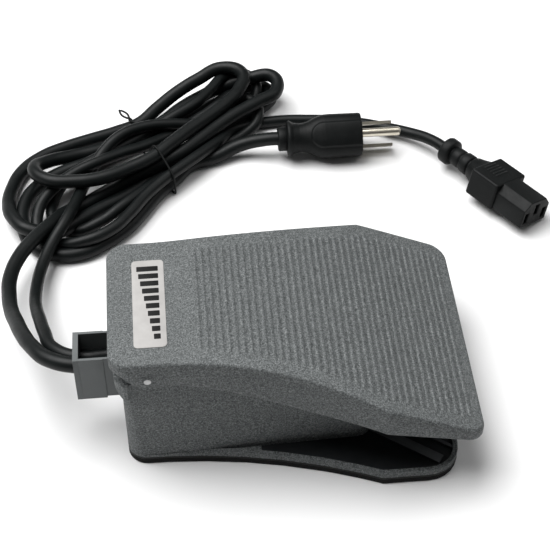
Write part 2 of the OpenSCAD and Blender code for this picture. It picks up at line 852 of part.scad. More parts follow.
base_casting();
bottom_plate();
floor_pad();
bottom_screw(0, -1);  // bottom_screw_1
bottom_screw(0, 1);  // bottom_screw_2
bottom_screw(1, -1);  // bottom_screw_3
bottom_screw(1, 1);  // bottom_screw_4
hinge_pin();
cord_box();
cord_box_plate();
cord_box_screw(0);  // cord_box_screw_1
cord_box_screw(1);  // cord_box_screw_2
cord_clamp();
circuit_board();
board_standoff(0, 0);  // board_standoff_1
board_standoff(0, 1);  // board_standoff_2
board_standoff(1, 0);  // board_standoff_3
board_standoff(1, 1);  // board_standoff_4
terminal_block();
capacitor();
choke();
heat_sink();
triac();
pot_bracket();
pot_body();
pot_shaft();
pinion();
spring_seat();
return_spring();
stop_bumper();
treadle();
label_plate();
sector_gear();
sector_screw(0);  // sector_screw_1
sector_screw(1);  // sector_screw_2
mains_cord_lead();
mains_cord_tail();
tool_cord_lead();
tool_cord_tail();
cord_hank();
cord_tie();
mains_plug();
plug_relief();
plug_blade(-1);  // plug_blade_1
plug_blade(1);  // plug_blade_2
plug_ground_pin();
tool_connector();
connector_relief();
connector_contact(-1);  // connector_contact_1
connector_contact(0);  // connector_contact_2
connector_contact(1);  // connector_contact_3
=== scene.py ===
"""Looks of a foot pedal speed control with its two cords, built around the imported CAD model."""
import json
import math
import bmesh
import bpy
import numpy as np
from mathutils import Matrix, Vector
from mathutils.bvhtree import BVHTree

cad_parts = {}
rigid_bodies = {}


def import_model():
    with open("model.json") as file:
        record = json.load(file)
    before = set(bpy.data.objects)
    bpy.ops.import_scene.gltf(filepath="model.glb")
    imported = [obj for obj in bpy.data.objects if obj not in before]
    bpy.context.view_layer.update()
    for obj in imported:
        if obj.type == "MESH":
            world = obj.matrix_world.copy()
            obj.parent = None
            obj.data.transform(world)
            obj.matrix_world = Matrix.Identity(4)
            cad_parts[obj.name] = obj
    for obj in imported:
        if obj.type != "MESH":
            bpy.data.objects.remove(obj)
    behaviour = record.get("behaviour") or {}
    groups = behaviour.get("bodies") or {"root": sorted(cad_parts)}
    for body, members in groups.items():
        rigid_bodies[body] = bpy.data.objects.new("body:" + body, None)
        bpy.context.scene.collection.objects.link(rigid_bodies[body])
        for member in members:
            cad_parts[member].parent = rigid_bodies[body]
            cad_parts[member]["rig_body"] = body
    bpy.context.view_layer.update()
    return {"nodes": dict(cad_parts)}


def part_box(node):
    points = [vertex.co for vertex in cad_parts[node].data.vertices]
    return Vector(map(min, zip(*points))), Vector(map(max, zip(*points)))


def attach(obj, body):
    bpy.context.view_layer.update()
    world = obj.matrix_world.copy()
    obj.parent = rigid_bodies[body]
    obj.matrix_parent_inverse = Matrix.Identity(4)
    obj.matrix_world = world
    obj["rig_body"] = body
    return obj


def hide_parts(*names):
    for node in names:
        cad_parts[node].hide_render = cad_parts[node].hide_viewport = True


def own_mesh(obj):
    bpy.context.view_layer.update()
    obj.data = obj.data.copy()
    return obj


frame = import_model()

MM = 0.001
HINGE_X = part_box("treadle")[0].x          # the treadle's hinge end, where the routes have X = 0


def at(x, y, z):
    """A point given in millimetres from the treadle's hinge end, in the row frame in metres."""
    return Vector((HINGE_X + x * MM, y * MM, z * MM))


# ---------------------------------------------------------------- camera
def make_camera():
    data = bpy.data.cameras.new("camera")
    data.sensor_width = 36.0
    data.lens = 94.67
    camera = bpy.data.objects.new("camera", data)
    camera.location = (-0.03737, -0.43774, 0.54774)
    look = Vector((0.0603, 0.6835, -0.7274))
    camera.rotation_euler = look.to_track_quat("-Z", "Y").to_euler()
    bpy.context.scene.collection.objects.link(camera)
    bpy.context.scene.camera = camera


# ---------------------------------------------------------------- materials
COAT_ROUGH = 0.2


class Nodes:
    """A short way to write a node tree: every texture is procedural and in object space."""

    def __init__(self, name):
        self.material = bpy.data.materials.new(name)
        self.material.use_nodes = True
        self.tree = self.material.node_tree
        self.bsdf = self.tree.nodes["Principled BSDF"]
        self.coords = self.tree.nodes.new("ShaderNodeTexCoord").outputs["Object"]

    def link(self, a, b):
        self.tree.links.new(a, b)

    def put(self, socket, value):
        if hasattr(value, "is_linked"):
            self.link(value, socket)
        else:
            socket.default_value = value

    def mapped(self, scale=(1, 1, 1), turn=(0, 0, 0)):
        node = self.tree.nodes.new("ShaderNodeMapping")
        node.inputs["Scale"].default_value = scale
        node.inputs["Rotation"].default_value = turn
        self.link(self.coords, node.inputs["Vector"])
        return node.outputs["Vector"]

    def noise(self, size_mm, detail=3.0, rough=0.5, vector=None):
        node = self.tree.nodes.new("ShaderNodeTexNoise")
        node.inputs["Scale"].default_value = 1.0 / (size_mm * MM)
        node.inputs["Detail"].default_value = detail
        node.inputs["Roughness"].default_value = rough
        self.link(vector or self.coords, node.inputs["Vector"])
        return node.outputs["Fac"]

    def cells(self, size_mm, smooth=None):
        """Distance from the middle of each cell; smooth blends the cells' borders."""
        node = self.tree.nodes.new("ShaderNodeTexVoronoi")
        if smooth is not None:
            node.feature = "SMOOTH_F1"
            node.inputs["Smoothness"].default_value = smooth
        node.inputs["Scale"].default_value = 1.0 / (size_mm * MM)
        self.link(self.coords, node.inputs["Vector"])
        return node.outputs["Distance"]

    def ramp(self, value, stops):
        node = self.tree.nodes.new("ShaderNodeValToRGB")
        ramp = node.color_ramp
        while len(ramp.elements) < len(stops):
            ramp.elements.new(0.5)
        for element, (place, colour) in zip(ramp.elements, stops):
            element.position = place
            element.color = grey(colour) if isinstance(colour, (int, float)) else colour
        self.link(value, node.inputs["Fac"])
        return node.outputs["Color"]

    def math(self, kind, a, b):
        node = self.tree.nodes.new("ShaderNodeMath")
        node.operation = kind
        self.put(node.inputs[0], a)
        self.put(node.inputs[1], b)
        return node.outputs["Value"]

    def mix(self, factor, a, b):
        node = self.tree.nodes.new("ShaderNodeMix")
        node.data_type = "RGBA"
        self.put(node.inputs["Factor"], factor)
        self.put(node.inputs["A"], a)
        self.put(node.inputs["B"], b)
        return node.outputs["Result"]

    def span(self, value, low, high, to_low, to_high):
        """The value, with low to high stretched over to_low to to_high."""
        node = self.tree.nodes.new("ShaderNodeMapRange")
        for name, number in (("From Min", low), ("From Max", high), ("To Min", to_low),
                             ("To Max", to_high)):
            node.inputs[name].default_value = number
        self.link(value, node.inputs["Value"])
        return node.outputs["Result"]

    def bump(self, height, depth_mm, strength, below=None):
        node = self.tree.nodes.new("ShaderNodeBump")
        node.inputs["Strength"].default_value = strength
        node.inputs["Distance"].default_value = depth_mm * MM
        self.link(height, node.inputs["Height"])
        if below is not None:
            self.link(below, node.inputs["Normal"])
        return node.outputs["Normal"]

    def convex(self):
        """How much a place sticks out, from the mesh itself: 0.5 is flat, above is an edge."""
        return self.tree.nodes.new("ShaderNodeNewGeometry").outputs["Pointiness"]

    def done(self, colour, rough, normal=None, metal=0.0, specular=0.5, coat=0.0):
        self.put(self.bsdf.inputs["Base Color"], colour)
        self.put(self.bsdf.inputs["Roughness"], rough)
        self.put(self.bsdf.inputs["Metallic"], metal)
        self.bsdf.inputs["Specular IOR Level"].default_value = specular
        self.bsdf.inputs["Coat Weight"].default_value = coat
        self.bsdf.inputs["Coat Roughness"].default_value = COAT_ROUGH
        if normal is not None:
            self.link(normal, self.bsdf.inputs["Normal"])
        return self.material


def linear(level):
    """One sRGB level, 0 to 255, as a linear value."""
    c = level / 255.0
    return c / 12.92 if c <= 0.04045 else ((c + 0.055) / 1.055) ** 2.4


def grey(level, warm=0.0):
    """A grey of that sRGB level; warm adds red and takes blue."""
    return (linear(level + warm), linear(level), linear(level - warm), 1.0)


def rgb(r, g, b):
    """A colour of those sRGB levels."""
    return (linear(r), linear(g), linear(b), 1.0)


def cool(level):
    """A slightly cold grey of that sRGB level."""
    return rgb(level - 3.0, level, level + 0.3)


def hammertone():
    """Grey hammered paint: small pits and pale metal flecks, worn a little on its edges."""
    n = Nodes("hammertone_paint")
    warp = n.noise(3.5, 2.0, 0.5)
    pits = n.cells(1.15, smooth=0.45)
    fine = n.noise(0.62, 3.0, 0.7)
    flecks = n.noise(1.3, 4.0, 0.75)
    cloud = n.noise(30.0, 3.0, 0.6)
    base = n.ramp(fine, [(0.36, cool(34)), (0.5, cool(80)), (0.64, cool(132))])
    base = n.mix(0.35, base, n.ramp(pits, [(0.02, cool(34)), (0.35, cool(82)), (0.8, cool(112))]))
    base = n.mix(n.span(flecks, 0.56, 0.66, 0.0, 0.5), base, cool(140))
    base = n.mix(n.span(cloud, 0.3, 0.7, 0.0, 0.12), base, cool(70))
    worn = n.span(n.convex(), 0.53, 0.60, 0.0, 0.5)
    worn = n.math("MULTIPLY", worn, n.span(n.noise(5.0, 4.0, 0.7), 0.45, 0.62, 0.0, 1.0))
    base = n.mix(worn, base, cool(112))
    normal = n.bump(warp, 0.25, 0.35)
    normal = n.bump(pits, 0.2, 0.8, normal)
    normal = n.bump(fine, 0.16, 0.7, normal)
    rough = n.span(flecks, 0.35, 0.7, 0.7, 0.55)
    return n.done(base, rough, normal, specular=0.22)


def cord_rubber():
    """Black cord jacket, a little cloudy and dusty."""
    n = Nodes("cord_jacket")
    cloud = n.noise(14.0, 3.0, 0.6)
    fine = n.noise(0.5, 2.0, 0.6)
    dust = n.noise(3.0, 5.0, 0.7)
    colour = n.ramp(cloud, [(0.3, rgb(6, 9, 9)), (0.7, rgb(10, 14, 14))])
    colour = n.mix(n.span(dust, 0.6, 0.8, 0.0, 0.2), colour, grey(28, 0.5))
    normal = n.bump(fine, 0.02, 0.5)
    normal = n.bump(cloud, 0.25, 0.25, normal)
    return n.done(colour, n.span(dust, 0.3, 0.7, 0.4, 0.52), normal, specular=0.2)


def moulded(name, dark, light, rough_low, rough_high, grain=0.35, specular=0.5):
    """Moulded plastic: fine grain, slight cloudiness, a painted highlight on its edges and pale
    scuffs.
    """
    n = Nodes(name)
    cloud = n.noise(9.0, 3.0, 0.6)
    fine = n.noise(grain, 2.0, 0.5)
    scuff = n.noise(2.2, 6.0, 0.75, n.mapped((1, 0.25, 1), (0.4, 0.2, 0.7)))
    colour = n.ramp(cloud, [(0.3, dark), (0.7, light)])
    # Painted highlight: every edge is made paler, as if it caught the light; the scuffs below are
    # real wear.
    edge_highlight = n.span(n.convex(), 0.52, 0.60, 0.0, 0.5)
    highlight_and_scuff_tone = tuple(min(1.0, c * 1.7 + 0.012) for c in light[:3]) + (1.0,)
    colour = n.mix(edge_highlight, colour, highlight_and_scuff_tone)
    colour = n.mix(n.span(scuff, 0.6, 0.75, 0.0, 0.3), colour, highlight_and_scuff_tone)
    normal = n.bump(fine, 0.03, 0.5)
    return n.done(colour, n.span(scuff, 0.35, 0.7, rough_low, rough_high), normal,
                  specular=specular)


def metal(name, dark, light, rough_low, rough_high, streak, size=2.0):
    """Bare metal with fine lines; streak stretches them, the most where it is smallest."""
    n = Nodes(name)
    lines = n.noise(size, 5.0, 0.65, n.mapped(streak))
    cloud = n.noise(6.0, 3.0, 0.6)
    colour = n.ramp(cloud, [(0.3, dark), (0.7, light)])
    colour = n.mix(n.span(lines, 0.35, 0.7, 0.0, 0.4), colour, light)
    normal = n.bump(lines, 0.01, 0.25)
    return n.done(colour, n.span(lines, 0.3, 0.7, rough_low, rough_high), normal, metal=1.0)


def pad_rubber():
    """Dull black rubber with a fine grit and pale dust."""
    n = Nodes("pad_rubber")
    grit = n.cells(0.8)
    cloud = n.noise(12.0, 4.0, 0.6)
    colour = n.ramp(cloud, [(0.3, grey(11)), (0.7, grey(18, 0.5))])
    colour = n.mix(n.span(n.noise(4.0, 5.0, 0.7), 0.6, 0.8, 0.0, 0.3), colour, grey(40, 1))
    return n.done(colour, n.span(cloud, 0.3, 0.7, 0.66, 0.8), n.bump(grit, 0.08, 0.5),
                  specular=0.15)


def label_paper():
    """The label's pale grey stock, with fibres and faint stains."""
    n = Nodes("label_stock")
    fibre = n.noise(0.4, 3.0, 0.6)
    cloud = n.noise(9.0, 3.0, 0.6)
    colour = n.ramp(cloud, [(0.3, grey(150, 2)), (0.7, grey(162, 2))])
    colour = n.mix(n.span(n.noise(2.5, 5.0, 0.7), 0.62, 0.8, 0.0, 0.3), colour, grey(132, 2))
    return n.done(colour, n.span(cloud, 0.3, 0.7, 0.5, 0.6), n.bump(fibre, 0.01, 0.4),
                  specular=0.3)


def label_ink():
    """Printed black, uneven in tone."""
    n = Nodes("label_ink")
    cloud = n.noise(3.0, 4.0, 0.6)
    colour = n.ramp(cloud, [(0.3, grey(16)), (0.75, grey(24))])
    return n.done(colour, n.span(cloud, 0.3, 0.7, 0.6, 0.7), n.bump(cloud, 0.01, 0.3),
                  specular=0.15)


def epoxy_board():
    """Green circuit board with a glass weave under a coat of lacquer."""
    n = Nodes("board_green")
    weave_scale = 400.0
    weave = n.tree.nodes.new("ShaderNodeTexWave")
    weave.inputs["Scale"].default_value = weave_scale
    n.link(n.coords, weave.inputs["Vector"])
    tracks = n.cells(4.0)
    colour = n.ramp(tracks, [(0.3, rgb(24, 84, 44)), (0.5, rgb(38, 112, 62))])
    return n.done(colour, 0.35, n.bump(weave.outputs["Fac"], 0.02, 0.4), coat=0.4)


M = {
    "hammertone_paint": hammertone(),
    "black_steel": moulded("black_steel", grey(10), grey(16), 0.44, 0.56, 0.8, 0.2),
    "pad_rubber": pad_rubber(),
    "bright_steel": metal("bright_steel", grey(118), grey(162), 0.26, 0.42, (1, 6, 1)),
    "box_plastic": moulded("box_plastic", cool(72), cool(80), 0.5, 0.62, 0.5, 0.3),
    "label_stock": label_paper(),
    "cord_jacket": cord_rubber(),
    "moulded_black": moulded("moulded_black", rgb(7, 9, 9), rgb(12, 14, 14), 0.46, 0.6, 0.4, 0.14),
    "contact_metal": metal("contact_metal", rgb(186, 180, 164), rgb(214, 208, 194), 0.26, 0.36,
                           (0.1, 2.5, 2.5), 1.2),
    "board_green": epoxy_board(),
    "terminal_green": moulded("terminal_green", rgb(44, 120, 62), rgb(58, 140, 76), 0.4, 0.5),
    "capacitor_yellow": moulded("capacitor_yellow", rgb(204, 160, 40), rgb(220, 178, 58), 0.3, 0.4),
    "choke_orange": metal("choke_orange", rgb(150, 78, 30), rgb(206, 124, 62), 0.25, 0.4,
                          (1, 1, 8), 1.0),
    "heat_sink_alloy": metal("heat_sink_alloy", grey(140), grey(180), 0.3, 0.5, (6, 1, 1)),
    "triac_black": moulded("triac_black", grey(26), grey(34), 0.4, 0.55),
    "pot_blue": moulded("pot_blue", rgb(28, 60, 128), rgb(40, 78, 150), 0.35, 0.45),
    "nylon_white": moulded("nylon_white", grey(214, 2), grey(226, 2), 0.35, 0.45),
}
INK = label_ink()
# Painted shade: near-black for the tray inside the casting, which lies in the treadle's shadow.
TRAY_SHADE = moulded("tray_painted_shade", rgb(18, 20, 22), rgb(26, 28, 30), 0.4, 0.55, 1.2, 0.3)
# Painted shade: a darker grey for the web tops, standing for the casting's paint in the treadle's
# shadow.
WEB_SHADE = moulded("web_painted_shade", rgb(64, 66, 68), rgb(78, 80, 82), 0.4, 0.55, 1.2, 0.3)


def finish_of(piece, slot):
    """Gives a piece or a CAD node the material of that slot."""
    piece.data.materials.clear()
    piece.data.materials.append(M[slot])


# ---------------------------------------------------------------- mesh helpers
def piece_from(name, bm, slot, body, smooth_angle):
    """Links a bmesh as a piece that rides on a body."""
    bmesh.ops.recalc_face_normals(bm, faces=bm.faces[:])
    mesh = bpy.data.meshes.new(name)
    bm.to_mesh(mesh)
    bm.free()
    piece = bpy.data.objects.new(name, mesh)
    bpy.context.scene.collection.objects.link(piece)
    for polygon in mesh.polygons:
        polygon.use_smooth = True
    mesh.set_sharp_from_angle(angle=math.radians(smooth_angle))
    finish_of(piece, slot)
    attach(piece, body)
    return piece


def soften(node, width_mm, slot, name, segments=3, clamp=True):
    """A copy of a CAD node's shape with rounded edges, which stands for it."""
    angle, same_place, same_plane = 35, 1e-6, 2
    source = frame["nodes"][node]
    bm = bmesh.new()
    bm.from_mesh(source.data)
    bmesh.ops.remove_doubles(bm, verts=bm.verts, dist=same_place)
    bmesh.ops.dissolve_limit(bm, angle_limit=math.radians(same_plane), verts=bm.verts,
                             edges=bm.edges)
    piece = piece_from(name, bm, slot, source["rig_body"], angle)
    bevel = piece.modifiers.new("edges", "BEVEL")
    bevel.width = width_mm * MM
    bevel.segments = segments
    bevel.limit_method = "ANGLE"
    bevel.angle_limit = math.radians(angle)
    bevel.use_clamp_overlap = clamp
    bevel.harden_normals = True
    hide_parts(node)
    return piece


def add_ring_tube(bm, rings):
    """Joins rings of points, all of one length, with quads, and closes both ends."""
    made = [[bm.verts.new(p) for p in ring] for ring in rings]
    count = len(made[0])
    for a, b in zip(made, made[1:]):
        for j in range(count):
            k = (j + 1) % count
            bm.faces.new((a[j], a[k], b[k], b[j]))
    bm.faces.new(list(reversed(made[0])))
    bm.faces.new(made[-1])


def tube_curve(name, points, radius, slot, fineness, closed=False):
    """A round tube on an automatic Bezier spline; fineness is its steps round and along."""
    data = bpy.data.curves.new(name, "CURVE")
    data.dimensions = "3D"
    data.bevel_depth = radius * MM
    data.bevel_resolution, data.resolution_u = fineness
    data.use_fill_caps = True
    spline = data.splines.new("BEZIER")
    spline.bezier_points.add(len(points) - 1)
    for knot, p in zip(spline.bezier_points, points):
        knot.co = at(*p)
        knot.handle_left_type = knot.handle_right_type = "AUTO"
    spline.use_cyclic_u = closed
    piece = bpy.data.objects.new(name, data)
    bpy.context.scene.collection.objects.link(piece)
    data.materials.append(M[slot])
    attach(piece, "base")
    return piece


# ---------------------------------------------------------------- cords
# Routes are in millimetres, as at() takes them. The leads and tails follow part.scad's as far as
# the hank. The hank's points and the last five of each lead were worked out in millimetres by a
# scratch program, mostly from picks made by hand on the photograph with a height judged by eye,
# and some were changed by hand later.
# settle() moves the strands apart.
MAINS_R = 3.8
TOOL_R = 3.2
CORD_FINENESS = (5, 10)
KNOT_STEP = 15.0
HELD_ENDS = ((188, 60), (138, 110))       # length of each cord's start and end that stays put
MAINS_LEAD = [(0, -14.4, 46.3), (-13, -14.4, 46.3), (-19, -14.2, 46.3), (-29, -8, 45), (-38, 6, 40),
              (-45, 26, 31), (-50, 44, 23), (-52, 61, 18.5), (-51, 78, 16.5), (-42, 97, 16),
              (-29, 117, 12)]
MAINS_HANK = [
    (-23, 127, 7.8), (-13, 134, 5), (-2, 140, 4.5), (9, 145, 5.5), (20, 151, 7.5), (30, 156, 9.5),
    (42, 164, 11), (54, 176, 11), (68, 188, 11), (81, 197, 10), (92, 206, 10), (98, 213, 10.5),
    (97, 219, 11), (89, 223, 10.5), (78, 225, 8), (65, 225, 5), (52, 219, 4), (39, 209, 4),
    (27, 196, 4), (15, 187, 4), (1, 180, 4.5), (-13, 174, 5.5), (-27, 170, 7.5), (-37, 163, 11),
    (-42, 154, 15), (-40, 145, 16.5), (-31, 140, 17), (-17, 138, 17.2), (-4, 140, 17),
    (9, 146, 16.5), (22, 153, 16.5), (33, 163, 17.5), (43, 173, 18), (56, 185, 18), (69, 199, 18),
    (76, 213, 17.5), (75, 223, 17), (69, 227, 16), (56, 224, 14), (42, 218, 11.5), (28, 209, 8),
    (17, 199, 5), (4, 193, 4), (-10, 188, 4), (-26, 182, 4), (-38, 176, 4), (-48, 167, 4),
    (-54, 154, 4.5), (-56, 140, 6), (-54, 125, 9), (-47, 114, 11), (-39, 108, 10.5), (-30, 111, 7),
    (-21, 118, 4.5), (-11, 127, 4), (2, 137, 4), (14, 146, 4), (24, 156, 4), (37, 167, 4),
    (51, 177, 4), (65, 187, 4), (77, 197, 4), (86, 206, 4), (91, 214, 4), (90, 222, 4),
    (81, 227, 4), (67, 219, 4), (51, 204, 4), (38, 195, 4), (23, 185, 4), (6, 176, 4),
    (-10, 168, 4), (-24, 163, 4), (-36, 156, 4), (-44, 148, 4), (-48, 138, 4), (-49, 128, 4),
    (-47, 118, 4), (-43, 108, 4), (-36, 103, 4), (-29, 99, 4), (-19, 99, 4), (-8, 104, 4),
    (3, 112, 4), (12, 123, 4), (19, 135, 4), (27, 146, 4), (37, 155, 4), (50, 166, 4)]
MAINS_TAIL = [(58, 166, 5), (68, 170.5, 7), (80, 171, 10.5), (94, 169, 12.4), (100, 169, 12.4)]
TOOL_LEAD = [(0, -7.3, 43.8), (-13, -7.3, 43.8), (-18.5, -7, 43.7), (-25.5, -1, 42), (-31, 13, 38),
             (-35, 30, 31), (-38, 46, 22), (-39, 62, 15.5), (-38, 78, 11.5), (-35, 92, 11),
             (-30, 103, 13)]
TOOL_HANK = [
    (-25, 112, 15.6), (-21, 125, 14), (-17, 140, 11.5), (-13, 153, 9.8), (-8, 163, 10.5),
    (-1, 172, 12), (7, 178, 12.5), (17, 183, 12), (30, 186, 11), (43, 188, 9), (55, 193, 7),
    (66, 202, 5), (76, 207, 4), (84, 213, 4.5), (86, 221, 6), (80, 228, 8), (70, 226, 9.5),
    (59, 215, 10.5), (50, 204, 11), (38, 195, 10.5), (25, 188, 8), (11, 177, 8),
    (-3, 168, 9.5), (-12, 163, 10), (-19, 157, 9.5),
    (-26, 151, 7), (-31, 144, 4), (-33, 134, 3.4), (-31, 124, 3.4), (-26, 117, 3.4), (-16, 117, 5),
    (-5, 121, 9), (7, 129, 10), (17, 139, 9), (29, 152, 6), (41, 164, 3.4), (55, 174, 3.4),
    (68, 183, 3.4), (78, 191, 6), (82, 197, 9.5), (82, 204, 10.5), (77, 209, 10), (69, 209, 9.5),
    (59, 203, 9), (47, 197, 6), (32, 186, 6), (16, 172, 9), (-1, 163, 10), (-15, 154, 10.5),
    (-27, 147, 10.5), (-35, 139, 10), (-41, 130, 9), (-43, 124, 6), (-43, 117, 4), (-39, 110, 3.6),
    (-31, 105, 5), (-21, 100, 9), (-10, 102, 10), (0, 108, 10.5), (9, 119, 10.5), (17, 131, 10.5),
    (26, 141, 10.5), (37, 151, 10.5), (50, 163, 9), (63, 178, 5)]
TOOL_TAIL = [(72, 189, 3.4), (84, 193, 3.4), (98, 195, 3.4), (116, 193.5, 3.4), (133, 191, 3.4),
             (148, 186, 3.8), (161, 179, 5), (173, 170, 7.8), (180.8, 160.6, 10),
             (186.4, 152.8, 10.5)]


def smooth_line(points, steps=12):
    """A smooth line through the points, the one an automatic Bezier spline makes."""
    p = np.array(points, float)
    handle = 2.5614                       # an automatic handle is its segment divided by this

    def tangent(i):
        ways = [p[j + 1] - p[j] for j in (i - 1, i) if 0 <= j < len(p) - 1]
        total = sum(w / np.linalg.norm(w) for w in ways)
        return total / np.linalg.norm(total)

    line = []
    for i in range(len(p) - 1):
        reach = np.linalg.norm(p[i + 1] - p[i]) / handle
        a, b = p[i] + tangent(i) * reach, p[i + 1] - tangent(i + 1) * reach
        for t in np.linspace(0, 1, steps, endpoint=False):
            u = 1 - t
            line.append(u**3 * p[i] + 3 * u * u * t * a + 3 * u * t * t * b + t**3 * p[i + 1])
    return np.array(line + [p[-1]])


def spaced(line, step):
    """The line as points an even step apart."""
    run = np.r_[0, np.cumsum(np.linalg.norm(np.diff(line, axis=0), axis=1))]
    where = np.linspace(0, run[-1], max(2, int(round(run[-1] / step))) + 1)
    return np.stack([np.interp(where, run, line[:, i]) for i in range(3)], 1)


def settle(lines, radii, held):
    """Lets the strands push each other apart and sink to the floor; held ends stay put."""
    rounds, step, floor_gap = 150, 5.0, 0.3
    gap, near, sink, pull, push_share = 0.2, 28.0, 0.03, 0.02, 0.8
    parts = [spaced(line, step) for line in lines]
    sizes = [len(part) for part in parts]
    p = np.concatenate(parts)
    start = p.copy()
    r = np.concatenate([np.full(n, q) for n, q in zip(sizes, radii)])
    which = np.concatenate([np.full(n, i) for i, n in enumerate(sizes)])
    place = np.concatenate([np.arange(n) for n in sizes])
    fixed = np.zeros(len(p), bool)
    first = 0
    for n, (a, b) in zip(sizes, held):
        fixed[first:first + int(a / step) + 1] = True
        fixed[first + n - int(b / step) - 1:first + n] = True
        first += n
    same = (which[:, None] == which[None]) & (np.abs(place[:, None] - place[None]) * step < near)
    need = r[:, None] + r[None] + gap
    ends = np.r_[False, which[1:] == which[:-1]] & np.r_[which[:-1] == which[1:], False]
    free = ~fixed
    inner = np.where(ends & free)[0]
    for _ in range(rounds):
        away = p[:, None] - p[None]
        apart = np.sqrt((away**2).sum(2)) + 1e-6
        touching = (apart < need) & ~same
        push = np.where(touching, (need - apart) / apart, 0.0)
        move = (push[..., None] * away).sum(1) * 0.5
        move /= np.sqrt(np.maximum(touching.sum(1), 1))[:, None]
        p[free] += move[free] * push_share
        shift = p - start
        for _ in range(3):
            even = shift.copy()
            even[inner] = 0.25 * shift[inner - 1] + 0.5 * shift[inner] + 0.25 * shift[inner + 1]
            shift = even
        p[inner] = start[inner] + shift[inner]
        p[free, :2] += pull * (start[free, :2] - p[free, :2])
        p[free, 2] -= sink
        p[:, 2] = np.maximum(p[:, 2], r + floor_gap)
    return np.split(p, np.cumsum(sizes)[:-1])


def make_cords():
    """Both cords, and the points that each one follows."""
    lines = [smooth_line(MAINS_LEAD + MAINS_HANK + MAINS_TAIL),
             smooth_line(TOOL_LEAD + TOOL_HANK + TOOL_TAIL)]
    mains, tool = settle(lines, (MAINS_R, TOOL_R), HELD_ENDS)
    mains = spaced(smooth_line(spaced(mains, KNOT_STEP), 6), KNOT_STEP)
    tool = spaced(smooth_line(spaced(tool, KNOT_STEP), 6), KNOT_STEP)
    a = tube_curve("mains_cord", mains, MAINS_R, "cord_jacket", CORD_FINENESS)
    b = tube_curve("tool_cord", tool, TOOL_R, "cord_jacket", CORD_FINENESS)
    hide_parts("mains_cord_lead", "mains_cord_tail", "cord_hank")
    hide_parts("tool_cord_lead", "tool_cord_tail")
    return a, b, mains, tool


# ---------------------------------------------------------------- plug
def local(matrix, x, y, z):
    """A point given in millimetres in a part's own frame, in the row frame in metres."""
    return matrix @ Vector((x * MM, y * MM, z * MM))


PLUG = Matrix.Translation(at(92, 169, 12.4)) @ Matrix.Rotation(math.radians(43), 4, "X")
CONN = (Matrix.Translation(at(184.7, 155.2, 10.5)) @ Matrix.Rotation(math.radians(-54.6), 4, "Z")
        @ Matrix.Rotation(math.radians(-14), 4, "X"))


def superellipse(x, half_y, half_z, power, count):
    """A ring across x: power 2 is an ellipse, and more is squarer."""
    ring = []
    for i in range(count):
        a = 2 * math.pi * i / count
        c, s = math.cos(a), math.sin(a)
        ring.append((x, math.copysign(abs(c) ** (2 / power), c) * half_y,
                     math.copysign(abs(s) ** (2 / power), s) * half_z))
    return ring


def loft(bm, matrix, sections, count=48):
    """A closed shape through superellipses, each given as x, half_y, half_z, power."""
    rings = [[local(matrix, *p) for p in superellipse(*s, count=count)] for s in sections]
    add_ring_tube(bm, rings)


def plug_ring(x, half_y, half_z, power):
    """A section of the plug, with the raised tongue that runs round its pins to its face."""
    count = 144
    tongue_x, tongue_half, tongue_h, edge_highlight = 25.2, 6.9, 1.1, 0.7
    ring = []
    for _, y, z in superellipse(x, half_y, half_z, power, count):
        inside = tongue_half - math.hypot(y, max(0.0, tongue_x - x))
        share = min(1.0, max(0.0, inside / edge_highlight + 0.5))
        if z > 0:
            z += tongue_h * share * share * (3 - 2 * share)
        ring.append(local(PLUG, x, y, z))
    return ring


def make_plug():
    """The plug's shell and collar, and its ground pin with a rounded tip."""
    outline = [(8.6, 8.7, 8.7, 2.0), (9.6, 8.4, 8.4, 2.0), (12, 8.0, 8.0, 2.0), (14, 8.1, 8.0, 2.1),
               (16, 8.6, 8.2, 2.15), (18, 9.4, 8.6, 2.25), (20, 10.4, 9.0, 2.4),
               (22, 11.2, 9.4, 2.5), (24, 11.8, 9.9, 2.55), (26, 12.2, 10.2, 2.6),
               (29, 12.3, 10.3, 2.6), (36, 12.2, 10.3, 2.6), (45.4, 12.1, 10.3, 2.6),
               (46.1, 11.9, 10.1, 2.6), (46.4, 11.6, 9.8, 2.6), (46.5, 11.2, 9.4, 2.6)]
    neck_x, ring_step, ring_count = 8.6, 0.5, 46
    places = sorted(set([s[0] for s in outline]
                        + [neck_x + ring_step * k for k in range(ring_count)]))
    table = np.array(outline)
    bm = bmesh.new()
    add_ring_tube(bm, [plug_ring(x, *[float(np.interp(x, table[:, 0], table[:, k]))
                                      for k in (1, 2, 3)]) for x in places])
    body = piece_from("plug_shell", bm, "moulded_black", "base", 50)
    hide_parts("mains_plug")
    bm = bmesh.new()
    loft(bm, PLUG, [(0, 6.0, 6.0, 2), (0.3, 6.6, 6.6, 2), (0.9, 6.8, 6.8, 2), (4.4, 6.8, 6.8, 2),
                    (4.8, 6.6, 6.6, 2), (5.0, 8.4, 8.4, 2), (5.2, 9.4, 9.4, 2), (5.8, 9.9, 9.9, 2),
                    (6.6, 9.9, 9.9, 2), (7.2, 9.6, 9.6, 2), (8.2, 8.9, 8.9, 2), (9.6, 8.2, 8.2, 2)])
    collar = piece_from("plug_collar", bm, "moulded_black", "base", 50)
    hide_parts("plug_relief")
    pin = soften("plug_ground_pin", 1.6, "contact_metal", "ground_pin_round", segments=5,
                 clamp=False)
    back, sunk, middle_x = PLUG.inverted(), 3, 50
    for vertex in pin.data.vertices:
        x, y, z = (back @ vertex.co) / MM
        if x < middle_x:
            vertex.co = local(PLUG, x - sunk, y, z)
    return [body, collar, pin]


